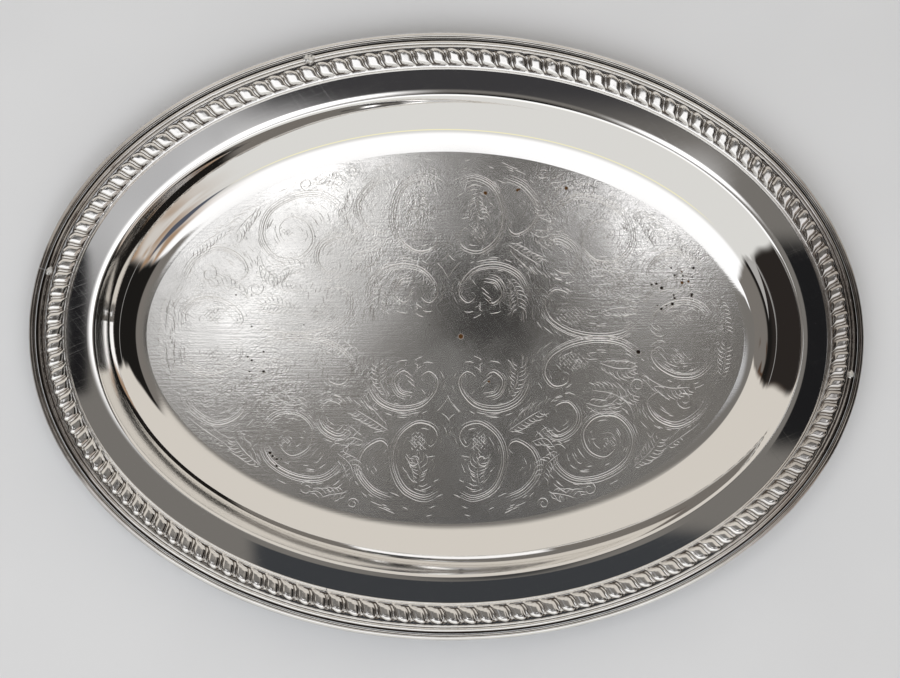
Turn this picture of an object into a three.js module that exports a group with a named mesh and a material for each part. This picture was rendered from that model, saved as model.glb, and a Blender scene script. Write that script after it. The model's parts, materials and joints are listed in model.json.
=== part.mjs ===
// Oval serving tray of silver-plated copper with an applied gadroon border.
// Millimetres, +Z up. The tray lies on its flat bottom, centred on the origin, with its long axis along X.
import * as THREE from 'three';
import { mergeVertices } from 'three/addons/utils/BufferGeometryUtils.js';

// ---- driving dimensions ----
const trayLength = 460;
const trayWidth = 333.6;
const sheet = 1.2;
const fit = 0.35; // solder film left between soldered faces

// Insets are measured square to the tray's outermost edge, towards the middle.
const shoulderInset = 34;

// The wall curls up from the flat well, runs up a flatter curve, and turns at the shoulder to the level rim.
const lowerRadius = 24.9;
const lowerAngle = THREE.MathUtils.degToRad(43.5);
const upperRadius = 140;
const upperAngle = THREE.MathUtils.degToRad(49.85);
const shoulderRadius = 2.5;
const lowerSteps = 4;
const upperSteps = 2;
const shoulderSteps = 2;

const wireRadius = 1.7;
const wireSides = 6;
const stripInset = 2 * wireRadius + fit;
const stripWidth = 4.75;
const mountInset = stripInset + stripWidth + fit;
const mountWidth = 11.65;

const lobeCount = 141;
const lobeHeight = 1.1; // from the bottom of a groove to the top of a lobe
const lobeLean = 0.45; // how far a lobe leans along the border for each millimetre of inset
const facetLength = 14.5; // one straight facet along the plain pieces

// Where the soldered lengths meet, in degrees round the oval from +X towards +Y.
const mountJoints = [12, 110.5, 188, 252.5];
const stripJoints = [110.5, 168, 352.5];
const wireJoints = [39, 168];

const wallWidth = lowerRadius * Math.sin(lowerAngle)
  + upperRadius * (Math.sin(upperAngle) - Math.sin(lowerAngle))
  + shoulderRadius * Math.sin(upperAngle);
const wellDepth = lowerRadius * (1 - Math.cos(lowerAngle))
  + upperRadius * (Math.cos(lowerAngle) - Math.cos(upperAngle))
  + shoulderRadius * (1 - Math.cos(upperAngle));
const rimTop = sheet + wellDepth;
const foot = rimTop + fit;
const wellInset = shoulderInset + wallWidth;
const halfWidth = trayWidth / 2;
const wellRadius = halfWidth - wellInset;

// ---- the oval ----
const oval = new THREE.EllipseCurve(0, 0, trayLength / 2, halfWidth);
oval.arcLengthDivisions = 2000;
const ovalLength = oval.getLength();

// A point on the curve that runs inside the oval at one inset; turn counts from 0 to 1 round the edge.
function rimPoint(turn, inset) {
  const u = ((turn % 1) + 1) % 1;
  const point = oval.getPointAt(u);
  const tangent = oval.getTangentAt(u);
  return new THREE.Vector2(point.x - tangent.y * inset, point.y + tangent.x * inset);
}

// The turn at an angle of the oval, in degrees.
function turnAt(degrees) {
  const lengths = oval.getLengths();
  const place = (degrees / 360) * (lengths.length - 1);
  const before = Math.floor(place);
  return THREE.MathUtils.lerp(lengths[before], lengths[before + 1], place - before) / ovalLength;
}

// The [start, end] turns of the lengths between joints.
function lengthsBetween(joints) {
  const turns = joints.map(turnAt);
  turns.push(turns[0] + 1);
  return joints.map((_, i) => [turns[i], turns[i + 1]]);
}

function facetsBetween(start, end) {
  return Math.ceil(((end - start) * ovalLength) / facetLength);
}

// ---- geometry helpers ----
function weld(geometry) {
  geometry.deleteAttribute('normal');
  geometry.deleteAttribute('uv');
  const welded = mergeVertices(geometry, 1e-4);
  const index = welded.getIndex().array;
  const kept = [];
  for (let i = 0; i < index.length; i += 3) {
    const [a, b, c] = index.slice(i, i + 3);
    if (a !== b && b !== c && c !== a) kept.push(a, b, c);
  }
  welded.setIndex(kept);
  welded.computeVertexNormals();
  return welded;
}

// Draws a cross-section of [inset, height] points out straight and bends it round the rim between two turns.
// lean slides the inner side along the rim, and lift raises each point by a height of its own.
function bentLength(outline, start, end, facets, lean = 0, lift = () => 0) {
  const section = new THREE.Shape(outline.map(([inset, height]) => new THREE.Vector2(inset, height)));
  const geometry = new THREE.ExtrudeGeometry(section, { depth: 1, steps: facets, bevelEnabled: false });
  const gap = fit / 2 / ovalLength;
  const position = geometry.getAttribute('position');
  for (let i = 0; i < position.count; i += 1) {
    const inset = position.getX(i);
    const height = position.getY(i);
    const along = position.getZ(i);
    const slide = (lean * (inset - outline[0][0])) / ovalLength;
    const point = rimPoint(THREE.MathUtils.lerp(start + gap, end - gap, along) - slide, inset);
    position.setXYZ(i, point.x, point.y, height + lift(inset, height, along));
  }
  return weld(geometry);
}

// ---- materials ----
const silver = { color: 0xd9d6d0, roughness: 0.18, metalness: 1 };
const stampedSilver = { color: 0xd2cec7, roughness: 0.22, metalness: 1 };
const leadTin = { color: 0x8d9094, roughness: 0.6, metalness: 0.8 };
const dabSolder = { color: 0xe2e1dd, roughness: 0.4, metalness: 0.9 };

const tray = new THREE.Group();
function add(name, geometry, look) {
  const mesh = new THREE.Mesh(geometry, new THREE.MeshStandardMaterial(look));
  mesh.name = name;
  tray.add(mesh);
}

// ---- tray body: one pressed sheet ----
// One face of the sheet from the edge of the well outwards, as [radius on the short axis, height] points.
function sheetFace(depth) {
  const points = [];
  for (let i = 0; i <= lowerSteps; i += 1) {
    const angle = (lowerAngle * i) / lowerSteps;
    const radius = lowerRadius + depth;
    points.push([wellRadius + radius * Math.sin(angle), sheet + lowerRadius - radius * Math.cos(angle)]);
  }
  const spread = upperRadius - lowerRadius; // the flatter curve's centre lies this far beyond the other's
  for (let i = 1; i <= upperSteps; i += 1) {
    const angle = THREE.MathUtils.lerp(lowerAngle, upperAngle, i / upperSteps);
    const radius = upperRadius + depth;
    points.push([
      wellRadius - spread * Math.sin(lowerAngle) + radius * Math.sin(angle),
      sheet + lowerRadius + spread * Math.cos(lowerAngle) - radius * Math.cos(angle),
    ]);
  }
  for (let i = shoulderSteps - 1; i >= 0; i -= 1) {
    const angle = (upperAngle * i) / shoulderSteps;
    const radius = shoulderRadius - depth;
    points.push([
      halfWidth - shoulderInset - radius * Math.sin(angle),
      rimTop - shoulderRadius + radius * Math.cos(angle),
    ]);
  }
  points.push([halfWidth - stripInset, rimTop - depth]);
  return points;
}

function trayBody() {
  const outline = [[0, 0], ...sheetFace(sheet), ...sheetFace(0).reverse(), [0, sheet]];
  const columns = facetsBetween(0, 1);
  const geometry = new THREE.LatheGeometry(outline.map(([r, z]) => new THREE.Vector2(r, z)), columns);
  const position = geometry.getAttribute('position');
  for (let i = 0; i < position.count; i += 1) {
    const turn = Math.floor(i / outline.length) / columns;
    const [radius, height] = outline[i % outline.length];
    const point = rimPoint(turn, Math.min(halfWidth - radius, wellInset));
    point.multiplyScalar(Math.min(radius / wellRadius, 1));
    position.setXYZ(i, point.x, point.y, height);
  }
  return weld(geometry);
}
add('tray_body', trayBody(), silver);

// ---- gadroon mounts: stamped hollow lengths, open underneath ----
const crownInset = mountInset + 3.4;
const mountEnd = mountInset + mountWidth;
const mountSection = [
  [mountInset, foot],
  [mountInset + 0.6, foot],
  [mountInset + 1.3, rimTop + 2.1],
  [crownInset, rimTop + 3.3],
  [mountInset + 7.2, rimTop + 2.3],
  [mountEnd - 1, foot],
  [mountEnd, foot],
  [mountEnd - 0.9, rimTop + 1.9],
  [mountInset + 9.2, rimTop + 1.6],
  [mountInset + 7.6, rimTop + 2.9],
  [crownInset, rimTop + 4],
  [mountInset + 0.6, rimTop + 2.6],
];

// Raises every second cross-section into a lobe, between the foot and the inner fillet of the mount.
function lobeLift(lobes) {
  return (inset, height, along) => {
    const onLobe = height > foot + 1 && inset < mountInset + 8.5;
    const crest = Math.round(along * lobes * 2) % 2 === 1;
    return onLobe && !crest ? -lobeHeight : 0;
  };
}

lengthsBetween(mountJoints).forEach(([start, end], i) => {
  const lobes = Math.round((end - start) * lobeCount);
  const geometry = bentLength(mountSection, start, end, lobes * 2, lobeLean, lobeLift(lobes));
  add(`gadroon_mount_${i + 1}`, geometry, stampedSilver);
});

// ---- mount filler: lead-tin run into the hollow of each stamped length ----
const fillerSection = [
  [mountInset + 1.1, foot],
  [mountInset + 9, foot],
  [mountInset + 6.9, rimTop + 0.9],
  [crownInset, rimTop + 1.8],
  [mountInset + 1.8, rimTop + 0.8],
];
lengthsBetween(mountJoints).forEach(([start, end], i) => {
  const geometry = bentLength(fillerSection, start, end, facetsBetween(start, end));
  add(`mount_filler_${i + 1}`, geometry, leadTin);
});

// ---- reeded strip: a flat strip with a bead along each side ----
const stripEnd = stripInset + stripWidth;
const stripSection = [
  [stripInset, foot],
  [stripEnd, foot],
  [stripEnd, rimTop + 1.8],
  [stripEnd - 1, rimTop + 1.2],
  [stripInset + 1.8, rimTop + 1.2],
  [stripInset + 1.3, rimTop + 1.6],
  [stripInset, rimTop + 1.4],
];
lengthsBetween(stripJoints).forEach(([start, end], i) => {
  add(`reeded_strip_${i + 1}`, bentLength(stripSection, start, end, facetsBetween(start, end)), silver);
});

// ---- edge wire: round bead wire soldered to the edge of the sheet ----
const wireHeight = rimTop - 0.3;
const wireSection = [];
for (let i = 0; i < wireSides; i += 1) {
  const angle = (2 * Math.PI * i) / wireSides;
  wireSection.push([
    wireRadius + wireRadius * Math.cos(angle),
    wireHeight + wireRadius * Math.sin(angle),
  ]);
}
lengthsBetween(wireJoints).forEach(([start, end], i) => {
  add(`edge_wire_${i + 1}`, bentLength(wireSection, start, end, facetsBetween(start, end)), silver);
});

// ---- seam solder: low dabs over the places where the strip's lengths meet ----
const dabHeight = 1;
const dabSizes = [[6.5, 5.2], [5, 3.6], [4.2, 3.4]]; // length along the strip, width across it
stripJoints.forEach((degrees, i) => {
  const [length, width] = dabSizes[i];
  const quarter = new THREE.Path().absarc(0, 0, 1, 0, Math.PI / 2).getPoints(3);
  quarter[quarter.length - 1].x = 0;
  const geometry = new THREE.LatheGeometry([new THREE.Vector2(0, 0), ...quarter], 14);
  geometry.rotateX(Math.PI / 2);
  geometry.scale(width / 2, length / 2, dabHeight);
  geometry.rotateZ(THREE.MathUtils.degToRad(degrees));
  const point = rimPoint(turnAt(degrees), stripInset + stripWidth / 2);
  geometry.translate(point.x, point.y, rimTop + 1.8 + fit);
  add(`seam_solder_${i + 1}`, weld(geometry), dabSolder);
});

export default tray;
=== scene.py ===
import json
import math
import random

import bmesh
import bpy
import numpy as np
from mathutils import Matrix, Vector, kdtree, noise
from mathutils.geometry import delaunay_2d_cdt

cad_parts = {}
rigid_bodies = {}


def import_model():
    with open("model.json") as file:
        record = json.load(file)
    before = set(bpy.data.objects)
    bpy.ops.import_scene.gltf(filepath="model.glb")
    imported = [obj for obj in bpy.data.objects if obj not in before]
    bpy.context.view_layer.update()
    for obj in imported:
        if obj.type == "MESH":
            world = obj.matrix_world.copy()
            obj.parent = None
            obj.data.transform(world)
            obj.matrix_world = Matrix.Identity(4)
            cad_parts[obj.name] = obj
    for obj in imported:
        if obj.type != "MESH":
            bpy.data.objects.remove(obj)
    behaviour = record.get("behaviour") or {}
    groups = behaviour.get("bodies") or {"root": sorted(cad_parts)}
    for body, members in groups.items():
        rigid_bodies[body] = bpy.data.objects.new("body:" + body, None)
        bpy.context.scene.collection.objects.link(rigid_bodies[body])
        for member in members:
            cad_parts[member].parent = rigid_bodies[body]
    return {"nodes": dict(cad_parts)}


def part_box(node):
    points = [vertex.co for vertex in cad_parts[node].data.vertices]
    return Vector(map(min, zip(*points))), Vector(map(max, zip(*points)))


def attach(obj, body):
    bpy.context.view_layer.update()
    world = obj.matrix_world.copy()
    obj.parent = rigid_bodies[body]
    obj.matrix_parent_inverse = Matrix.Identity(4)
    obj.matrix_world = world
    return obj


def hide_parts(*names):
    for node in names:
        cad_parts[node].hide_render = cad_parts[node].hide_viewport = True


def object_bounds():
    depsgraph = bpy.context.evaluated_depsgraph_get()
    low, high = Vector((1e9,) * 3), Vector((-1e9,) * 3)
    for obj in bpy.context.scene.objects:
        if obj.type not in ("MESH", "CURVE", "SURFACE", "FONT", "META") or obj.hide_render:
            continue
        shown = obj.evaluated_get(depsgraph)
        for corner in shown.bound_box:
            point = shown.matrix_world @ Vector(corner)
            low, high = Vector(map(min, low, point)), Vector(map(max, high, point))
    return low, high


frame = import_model()
cadLow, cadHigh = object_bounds()
nodes = frame["nodes"]
mm = 0.001

# Heights and half sizes come from the frame. Insets are measured square to the tray's edge, towards the middle.
halfLength = (cadHigh.x - cadLow.x) / 2
halfWidth = (cadHigh.y - cadLow.y) / 2
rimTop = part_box("tray_body")[1].z
print(f"frame read: {halfLength * 2:.4f} by {halfWidth * 2:.4f} m, rim at {rimTop:.4f} m")


def ovalTable(steps=8192):
    angle = np.linspace(0, 2 * math.pi, steps + 1)
    x, y = halfLength * np.cos(angle), halfWidth * np.sin(angle)
    run = np.concatenate([[0], np.cumsum(np.hypot(np.diff(x), np.diff(y)))])
    return angle, run / run[-1], run[-1]


ovalAngle, ovalRun, ovalLength = ovalTable()


def ringPoint(turn, inset):  # a turn counts from 0 to 1 round the edge, from +X towards +Y
    angle = np.interp(np.mod(turn, 1.0), ovalRun, ovalAngle)
    nx, ny = np.cos(angle) / halfLength, np.sin(angle) / halfWidth
    size = np.hypot(nx, ny)
    return halfLength * np.cos(angle) - nx / size * inset, halfWidth * np.sin(angle) - ny / size * inset


def turnAt(degrees):
    return float(np.interp(math.radians(degrees), ovalAngle, ovalRun))


def lengthsBetween(joints):
    turns = [turnAt(degrees) for degrees in joints]
    turns.append(turns[0] + 1)
    return list(zip(turns[:-1], turns[1:]))


def addNode(tree, kind, inputs=None, **settings):
    made = tree.nodes.new(kind)
    for name, value in settings.items():
        setattr(made, name, value)
    for key, value in (inputs or {}).items():
        if isinstance(value, bpy.types.NodeSocket):
            tree.links.new(value, made.inputs[key])
        else:
            made.inputs[key].default_value = value
    return made


def calc(tree, operation, first, second=0.0, third=0.0):
    return addNode(tree, "ShaderNodeMath", {0: first, 1: second, 2: third}, operation=operation).outputs[0]


def times(tree, first, second):
    return calc(tree, "MULTIPLY", first, second)


def plus(tree, first, second):
    return calc(tree, "ADD", first, second)


def less(tree, first, second):
    return calc(tree, "SUBTRACT", first, second)


def smooth(tree, value, low, high, lowTo=0.0, highTo=1.0):
    settings = {"Value": value, "From Min": low, "From Max": high, "To Min": lowTo, "To Max": highTo}
    return addNode(tree, "ShaderNodeMapRange", settings, interpolation_type="SMOOTHSTEP").outputs[0]


def mixColour(tree, factor, first, second, blend="MIX"):
    made = addNode(tree, "ShaderNodeMix", data_type="RGBA", blend_type=blend)
    for index, value in ((0, factor), (6, first), (7, second)):
        if isinstance(value, bpy.types.NodeSocket):
            tree.links.new(value, made.inputs[index])
        else:
            made.inputs[index].default_value = value if index == 0 else (*value, 1.0)
    return made.outputs[2]


def readPainted(tree, name):  # a value painted on the mesh's points
    return addNode(tree, "ShaderNodeAttribute", attribute_name=name).outputs["Fac"]


def objectPlace(tree):
    return addNode(tree, "ShaderNodeTexCoord").outputs["Object"]


def newGroup(name, kind, inputs, outputs):
    group = bpy.data.node_groups.new(name, kind)
    for label, socketType, default in inputs:
        socket = group.interface.new_socket(label, in_out="INPUT", socket_type=socketType)
        if default is not None:
            socket.default_value = default
    for label, socketType in outputs:
        group.interface.new_socket(label, in_out="OUTPUT", socket_type=socketType)
    return group, group.nodes.new("NodeGroupInput"), group.nodes.new("NodeGroupOutput")


def useGroup(tree, group, inputs=None):
    made = tree.nodes.new("ShaderNodeGroup" if group.bl_idname == "ShaderNodeTree" else "GeometryNodeGroup")
    made.node_tree = group
    for key, value in (inputs or {}).items():
        if isinstance(value, bpy.types.NodeSocket):
            tree.links.new(value, made.inputs[key])
        else:
            made.inputs[key].default_value = value
    return made


def addObject(name, data):
    made = bpy.data.objects.new(name, data)
    bpy.context.scene.collection.objects.link(made)
    return made


camera = {"lens": 131, "distance": 1.8, "fromLeft": 6.3, "fromFront": 3.7, "aim": (-0.0003, -0.0018, 0.012)}


def makeCamera():
    data = bpy.data.cameras.new("camera")
    data.lens = camera["lens"]
    made = addObject("camera", data)
    leanX, leanY = (math.tan(math.radians(camera[side])) for side in ("fromLeft", "fromFront"))
    back = Vector((-leanX, -leanY, 1)).normalized()
    right = Vector((0, 1, 0)).cross(back).normalized()
    turned = Matrix((right, back.cross(right), back)).transposed().to_4x4()
    made.matrix_world = Matrix.Translation(Vector(camera["aim"]) + back * camera["distance"]) @ turned
    bpy.context.scene.camera = made
    return made


cameraPlace = makeCamera().matrix_world.translation.copy()


def shownAt(x, y):  # where the level rim shows the studio, as the slope of the way up from it
    return (x - cameraPlace.x) / cameraPlace.z, (y - cameraPlace.y) / cameraPlace.z


# A card fills what a level mirror shows the main camera between two corners, given as shares of the half sizes.
studio = {
    "cards": [
        {"corners": ((-1.15, 0.12), (-0.4, 1.0)), "soft": 0.03, "colour": (0.48, 0.48, 0.49)},
        {"corners": ((-0.72, -0.06), (-0.5, 0.3)), "soft": 0.016, "colour": (1.5, 1.5, 1.51)},
        {"corners": ((-0.56, -0.02), (-0.28, 0.52)), "soft": 0.016, "colour": (1.5, 1.5, 1.51)},
        {"corners": ((0.38, 0.28), (0.62, 0.54)), "soft": 0.012, "colour": (2.2, 2.2, 2.24)},
        {"corners": ((-0.44, 0.44), (-0.12, 0.68)), "soft": 0.016, "colour": (2.4, 2.4, 2.42)},
        {"corners": ((-0.05, -0.2), (0.25, 0.46)), "soft": 0.012, "colour": (0.0, 0.0, 0.0)},
        {"corners": ((0.0, -0.56), (0.24, -0.1)), "soft": 0.016, "colour": (0.05, 0.05, 0.05)},
        {"corners": ((-0.47, -1.03), (0.66, -0.64)), "soft": 0.003, "colour": (0.045, 0.048, 0.053)},
        {"corners": ((-0.5, 0.73), (0.6, 1.06)), "soft": 0.01, "colour": (0.045, 0.044, 0.047)},
        {"corners": ((0.78, -0.36), (1.03, 0.33)), "soft": 0.004, "colour": (0.012, 0.012, 0.013)},
        {"corners": ((-0.92, -0.2), (-0.86, 0.28)), "soft": 0.002, "colour": (0.008, 0.008, 0.009)},
        {"corners": ((5, -11), (9, -7.2)), "soft": 0.04, "colour": (0.09, 0.1, 0.13)},
    ],
    "overhead": (0.18, 0.17, 0.158),
    "back": (0.68, 0.64, 0.585),
    "frontNear": (1.1, 1.1, 1.11), "frontFar": (0.74, 0.735, 0.715), "frontLine": (1.0, 0.95, 0.6),
    "sideNear": (0.19, 0.175, 0.16), "side": (0.012, 0.011, 0.01), "sideFar": (0.024, 0.02, 0.018),
    "sideWarm": (0.36, 0.23, 0.135), "sideBrown": (0.08, 0.045, 0.028), "sideLight": (0.42, 0.41, 0.4),
    "seen": (0.66, 0.66, 0.67),
    "key": {"place": (-0.5, -0.5, 1.9), "size": 2.2, "power": 19},
    # Where each part of the studio starts and is full. Most are sines of the angle down from straight above, or
    # the shares of the way out that point along X (Left, Right) and Y (Front, Back).
    "fades": {
        "frontFar": (0.62, 0.74), "frontLineIn": (0.755, 0.765), "frontLineOut": (0.79, 0.78),
        "frontLineAhead": (-0.75, -0.9), "back": (-0.06, 0.12), "right": (-0.05, 0.05),
        "warmFrom": (-0.86, -0.55), "warmTo": (-0.1, -0.4), "warmPatches": (0.35, 0.6, 0.25, 0.95),
        "warmOut": (0.5, 0.62), "reachBackRight": (0.45, 0.95, 0.6, 0.27),
        "reachFront": (-0.05, 0.05, 0.56, 0.4),
        "sideEdge": (0.04, -0.03), "sideOut": (0.2, 0.24), "brownLeft": (-0.1, -0.4), "brownBack": (0.08, 0.2),
        "brownOut": (0.42, 0.55), "brownPatches": (0.42, 0.5), "sideFar": (0.84, 0.93),
        "wedge": (-0.004, 0.006),
        "wedgeOut": (0.822, 0.834), "wedgeLeft": (-0.05, -0.3), "sideLineIn": (0.953, 0.956),
        "sideLineOut": (0.964, 0.96), "darkStart": (-0.5, 0.5, 0.73, 0.45), "dark": (0.0, 0.05),
        "above": (0.31, 0.24), "aboveBack": (-0.04, -0.03), "cardUp": (0.3, 0.5),
    },
    "reachBackLeft": 0.45, "raggedness": 0.12, "wedgeSlope": -0.3, "wedgeAt": 0.83, "sideLineShare": 0.7,
}


def makeWorld():
    world = bpy.data.worlds.new("studio")
    bpy.context.scene.world = world
    world.use_nodes = True
    tree = world.node_tree
    tree.nodes.clear()

    def fade(value, name):
        return smooth(tree, value, *studio["fades"][name])

    def shared(*shares):
        product = shares[0]
        for share in shares[1:]:
            product = times(tree, product, share)
        return product

    direction = addNode(tree, "ShaderNodeTexCoord").outputs["Generated"]
    x, y, z = addNode(tree, "ShaderNodeSeparateXYZ", {0: direction}).outputs
    level = calc(tree, "MAXIMUM", z, 0.05)
    acrossX, acrossY = calc(tree, "DIVIDE", x, level), calc(tree, "DIVIDE", y, level)
    low = calc(tree, "SQRT", plus(tree, times(tree, x, x), times(tree, y, y)))
    aside = calc(tree, "DIVIDE", x, calc(tree, "MAXIMUM", low, 0.01))
    towards = calc(tree, "DIVIDE", y, calc(tree, "MAXIMUM", low, 0.01))
    patches = addNode(tree, "ShaderNodeTexNoise", {"Vector": direction, "Scale": 4.0, "Detail": 1.0,
                                                   "Distortion": 0.4}).outputs[0]
    right = fade(aside, "right")

    front = mixColour(tree, fade(low, "frontFar"), studio["frontNear"], studio["frontFar"])
    line = shared(fade(low, "frontLineIn"), fade(low, "frontLineOut"), fade(towards, "frontLineAhead"))
    front = mixColour(tree, line, front, studio["frontLine"])
    colour = mixColour(tree, fade(y, "back"), front, studio["back"])
    warmed = shared(fade(towards, "warmFrom"), fade(towards, "warmTo"), right, fade(patches, "warmPatches"),
                    fade(low, "warmOut"))
    colour = mixColour(tree, warmed, colour, studio["sideWarm"])

    # The dark sides reach this far round from the X axis.
    reachBack = smooth(tree, aside, -0.05, 0.05, studio["reachBackLeft"], fade(low, "reachBackRight"))
    reach = smooth(tree, towards, -0.02, 0.02, fade(aside, "reachFront"), reachBack)
    ragged = times(tree, less(tree, patches, 0.5), studio["raggedness"])
    within = fade(plus(tree, less(tree, calc(tree, "ABSOLUTE", towards), reach), ragged), "sideEdge")
    brown = shared(fade(aside, "brownLeft"), fade(towards, "brownBack"), fade(low, "brownOut"),
                   fade(patches, "brownPatches"))
    near = mixColour(tree, brown, studio["sideNear"], studio["sideBrown"])
    colour = mixColour(tree, shared(within, fade(low, "sideOut")), colour, near)
    dark = mixColour(tree, fade(less(tree, low, right), "sideFar"), studio["side"], studio["sideFar"])
    wedge = times(tree, plus(tree, towards, 0.1), studio["wedgeSlope"])
    wedge = less(tree, wedge, less(tree, low, studio["wedgeAt"]))
    wedge = shared(fade(wedge, "wedge"), fade(low, "wedgeOut"), fade(aside, "wedgeLeft"))
    dark = mixColour(tree, wedge, dark, studio["sideLight"])
    line = shared(fade(low, "sideLineIn"), fade(low, "sideLineOut"), studio["sideLineShare"])
    dark = mixColour(tree, line, dark, studio["sideLight"])
    deep = fade(less(tree, low, fade(aside, "darkStart")), "dark")
    colour = mixColour(tree, shared(within, deep), colour, dark)

    above = shared(fade(low, "above"), fade(acrossY, "aboveBack"))
    colour = mixColour(tree, above, colour, studio["overhead"])
    for card in studio["cards"]:
        (x0, y0), (x1, y1) = card["corners"]
        u0, v0 = shownAt(x0 * halfLength, y0 * halfWidth)
        u1, v1 = shownAt(x1 * halfLength, y1 * halfWidth)
        soft = card["soft"]
        inX = shared(smooth(tree, acrossX, u0 - soft, u0 + soft), smooth(tree, acrossX, u1 + soft, u1 - soft))
        inY = shared(smooth(tree, acrossY, v0 - soft, v0 + soft), smooth(tree, acrossY, v1 + soft, v1 - soft))
        colour = mixColour(tree, shared(inX, inY, fade(z, "cardUp")), colour, card["colour"])
    seen = addNode(tree, "ShaderNodeLightPath").outputs["Is Camera Ray"]
    colour = mixColour(tree, seen, colour, studio["seen"])
    lit = addNode(tree, "ShaderNodeBackground", {"Color": colour, "Strength": 1.0})
    tree.links.new(lit.outputs[0], addNode(tree, "ShaderNodeOutputWorld").inputs[0])


def makeKey():
    key = studio["key"]
    light = bpy.data.lights.new("key", "AREA")
    light.energy = key["power"]
    light.size = key["size"]
    made = addObject("key", light)
    made.location = key["place"]
    made.rotation_euler = (-Vector(key["place"])).to_track_quat("-Z", "Y").to_euler()
    made.visible_glossy = False


floor = {"half": 3.0, "colour": (0.765, 0.78, 0.805), "fleck": (0.745, 0.76, 0.785)}


def makeFloor():
    half = floor["half"]
    mesh = bpy.data.meshes.new("floor")
    corners = [(-half, -half, 0), (half, -half, 0), (half, half, 0), (-half, half, 0)]
    mesh.from_pydata(corners, [], [(0, 1, 2, 3)])
    made = addObject("floor", mesh)
    paper = bpy.data.materials.new("studio_paper")
    paper.use_nodes = True
    tree = paper.node_tree
    shader = tree.nodes["Principled BSDF"]
    shader.inputs["Roughness"].default_value = 0.9
    grain = addNode(tree, "ShaderNodeTexNoise", {"Scale": 60.0})
    shade = mixColour(tree, smooth(tree, grain.outputs[0], 0.3, 0.7), floor["colour"], floor["fleck"])
    tree.links.new(shade, shader.inputs["Base Color"])
    mesh.materials.append(paper)


makeWorld()
makeKey()
makeFloor()
bpy.context.scene.view_settings.view_transform = "Standard"
print("studio made")


def newMaterial(name, metallic=1.0):
    made = bpy.data.materials.new(name)
    made.use_nodes = True
    shader = made.node_tree.nodes["Principled BSDF"]
    shader.inputs["Metallic"].default_value = metallic
    return made, made.node_tree, shader


def makeScratches():
    group, given, result = newGroup("fineScratches", "ShaderNodeTree", [
        ("Scale", "NodeSocketFloat", 60.0), ("Stretch", "NodeSocketFloat", 14.0),
        ("Turn", "NodeSocketFloat", 0.0)],
        [("Height", "NodeSocketFloat"), ("Mask", "NodeSocketFloat")])
    place = objectPlace(group)
    turned = addNode(group, "ShaderNodeVectorRotate", {"Vector": place, "Angle": given.outputs["Turn"]},
                     rotation_type="Z_AXIS").outputs[0]
    parts = addNode(group, "ShaderNodeSeparateXYZ", {0: turned})
    long = calc(group, "DIVIDE", parts.outputs[0], given.outputs["Stretch"])
    drawn = addNode(group, "ShaderNodeCombineXYZ", {0: long, 1: parts.outputs[1], 2: parts.outputs[2]})
    lines = addNode(group, "ShaderNodeTexNoise", {"Vector": drawn.outputs[0], "Scale": given.outputs["Scale"],
                                                  "Detail": 4.0, "Roughness": 0.65})
    group.links.new(lines.outputs[0], result.inputs["Height"])
    group.links.new(smooth(group, lines.outputs[0], 0.55, 0.7), result.inputs["Mask"])
    return group


def makeCloud():
    group, given, result = newGroup("cloud", "ShaderNodeTree", [
        ("Scale", "NodeSocketFloat", 8.0), ("From", "NodeSocketFloat", 0.4), ("To", "NodeSocketFloat", 0.6)],
        [("Mask", "NodeSocketFloat")])
    place = objectPlace(group)
    scale, low, high = (given.outputs[name] for name in ("Scale", "From", "To"))
    drift = addNode(group, "ShaderNodeTexNoise", {"Vector": place, "Scale": scale, "Detail": 5.0})
    group.links.new(smooth(group, drift.outputs[0], low, high), result.inputs[0])
    return group


fineScratches = makeScratches()
cloud = makeCloud()

silver = {
    "polished": (0.93, 0.92, 0.905), "cut": (0.7, 0.68, 0.66), "hazy": (0.85, 0.84, 0.82),
    "darkerAtEnds": (0.24, 0.20, 0.175), "tarnishAndShade": (0.20, 0.15, 0.11), "grimeAndShade": (0.035, 0.028, 0.024),
    "spot": (0.15, 0.075, 0.03), "pit": (0.03, 0.022, 0.018),
    "wellRoughness": 0.05, "cutRoughness": 0.2, "pitRoughness": 0.35,
    "brushing": 0.3, "chasing": 0.42, "chasingEverywhere": 0.1, "bump": 0.00003,
}


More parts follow.
